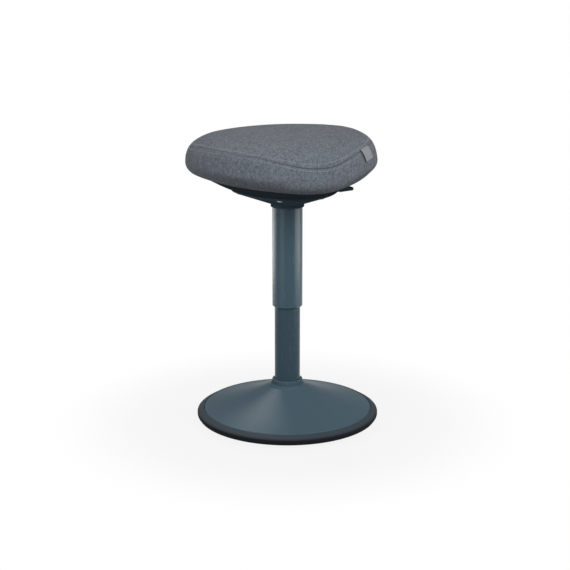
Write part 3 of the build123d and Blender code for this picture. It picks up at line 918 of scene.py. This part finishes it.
def slatePaint(name):
    s = paintSettings[name]
    finish = Finish(name, Specular_IOR_Level=s["gloss"])
    where = finish.place()
    peel = finish.noise(where, 650.0, 1.0)            # orange peel of the coat
    drift = finish.noise(where, 7.0, 3.0)
    speck = finish.cells(where, 1500.0)
    rub = finish.fade(finish.noise(finish.place((1.0, 1.0, 0.12)), 260.0, 4.0), 0.60, 0.74)   # hairline rubs
    colour = finish.mix(0.5 * drift + 0.3 * peel + 0.2 * speck, s["dark"], s["light"])
    colour = finish.mix(0.18 * rub, colour, (0.13, 0.16, 0.18))
    finish.set(Base_Color=colour, Roughness=s["rough"] + 0.10 * drift + 0.06 * rub)
    finish.bump(peel + 0.3 * speck, 0.00006)
    return finish.material


def darkCoat(name):
    s = coatSettings[name]
    finish = Finish(name, Specular_IOR_Level=s["gloss"])
    where = finish.place()
    pebble = finish.cells(where, s["grain"])
    drift = finish.noise(where, 16.0, 3.0)
    dust = finish.fade(finish.noise(where, 90.0, 5.0), 0.55, 0.75)
    colour = finish.mix(0.6 * drift + 0.4 * pebble, s["dark"], s["light"])
    colour = finish.mix(0.10 * dust, colour, (0.16, 0.17, 0.18))
    finish.set(Base_Color=colour, Roughness=s["rough"] + 0.10 * drift + 0.05 * dust)
    finish.bump(pebble + 0.4 * drift, s["depth"])
    return finish.material


def turnedMetal(name):
    s = metalSettings[name]
    finish = Finish(name, Metallic=1.0)
    x, y, z = finish.axes(finish.place())
    radius = (x * x + y * y) ** 0.5
    groove = ((radius + z) / s["pitch"]).hump()       # tool marks round the axis
    stain = finish.noise(finish.place(), 70.0, 4.0)
    finish.set(Base_Color=finish.mix(stain, s["dark"], s["light"]),
               Roughness=s["rough"] + 0.14 * stain + 0.04 * groove)
    finish.bump(groove + stain, s["depth"])
    return finish.material


def mattRubber(s):
    finish = Finish("mattRubber", Specular_IOR_Level=s["gloss"])
    where = finish.place()
    height = finish.axes(where)[2]
    pores = finish.cells(where, 1100.0)
    drift = finish.noise(where, 12.0, 4.0)
    scuff = finish.fade(finish.noise(finish.place((1.0, 1.0, 5.0)), 55.0, 5.0), 0.56, 0.72)
    colour = finish.mix(0.7 * drift + 0.3 * pores, s["dark"], s["light"])
    colour = finish.mix(0.25 * scuff, colour, s["scuff"])
    # painted shade: darker towards the floor
    colour = finish.mix(finish.fade(height, *s["lowShadeFade"]), colour, s["lowShade"])
    finish.set(Base_Color=colour, Roughness=s["rough"] + 0.16 * drift + 0.08 * scuff)
    finish.bump(pores, s["depth"])
    return finish.material


def zincPlate(s):
    finish = Finish("zincPlate", Metallic=1.0)
    where = finish.place()
    spangle = finish.mix(0.35, s["spangle"], finish.cells(where, 130.0, "Color"))
    bloom = finish.fade(finish.noise(where, 40.0, 5.0), 0.50, 0.75)
    colour = finish.mix(0.5 * bloom, s["plain"], s["bloom"])
    finish.set(Base_Color=finish.mix(0.08, colour, spangle), Roughness=s["rough"] + 0.22 * bloom)
    finish.bump(finish.noise(where, 500.0, 2.0), s["depth"])
    return finish.material


def castIron(s):
    finish = Finish("castIron", Specular_IOR_Level=s["gloss"])
    where = finish.place()
    sand = finish.noise(where, 420.0, 4.0)
    pits = finish.cells(where, 260.0)
    rust = finish.fade(finish.noise(where, 30.0, 5.0), 0.60, 0.78)
    colour = finish.mix(sand, s["dark"], s["light"])
    colour = finish.mix(0.35 * rust, colour, s["rust"])
    finish.set(Base_Color=colour, Metallic=0.6 - 0.4 * rust, Roughness=s["rough"] + 0.25 * sand)
    finish.bump(sand + 0.5 * pits, s["depth"])
    return finish.material


def plywood(s):
    finish = Finish("plywood", Specular_IOR_Level=s["gloss"])
    height = finish.axes(finish.place())[2]
    ply = ((height - s["lowest"]) / s["ply"]).floor() % 2.0        # plies of alternate grain
    long = finish.noise(finish.place((1.0, 14.0, 1.0)), 26.0, 4.0)
    cross = finish.noise(finish.place((14.0, 1.0, 1.0)), 26.0, 4.0)
    figure = long * (1 - ply) + cross * ply
    colour = finish.mix(figure, s["dark"], s["light"])
    colour = finish.mix(0.35 * ply, colour, s["glue"])
    finish.set(Base_Color=colour, Roughness=s["rough"] + 0.25 * figure)
    finish.bump(figure, s["depth"])
    return finish.material


finishes = {
    "column_paint": slatePaint("slateTube"),
    "flange_metal": darkCoat("flangeCoat"),
    "shell_plastic": darkCoat("shellGrain"),
    "guide_plastic": darkCoat("guidePlastic"),
    "lever_steel": darkCoat("leverCoat"),
    "cylinder_coat": darkCoat("cylinderCoat"),
    "black_rubber": mattRubber(rubberSettings),
    "zinc_steel": zincPlate(zincSettings),
    "screw_steel": turnedMetal("screwSteel"),
    "bearing_steel": turnedMetal("bearingSteel"),
    "turned_aluminium": turnedMetal("turnedAluminium"),
    "grey_iron": castIron(ironSettings),
    "board_wood": plywood(plywoodSettings),
}
basePaint = slatePaint("slateBase")
# the lower tube gets the darker copy of the paint as painted shade
ownFinishes = {"base_dish": basePaint, "foot_collar": basePaint, "lower_tube": slatePaint("slateLowerShaded")}
for part in frame["record"]["subparts"]:
    finish = ownFinishes.get(part["node"], finishes.get(part["material_slot"]))
    if finish:
        nodes[part["node"]].data.materials.clear()
        nodes[part["node"]].data.materials.append(finish)
print("finishes given")
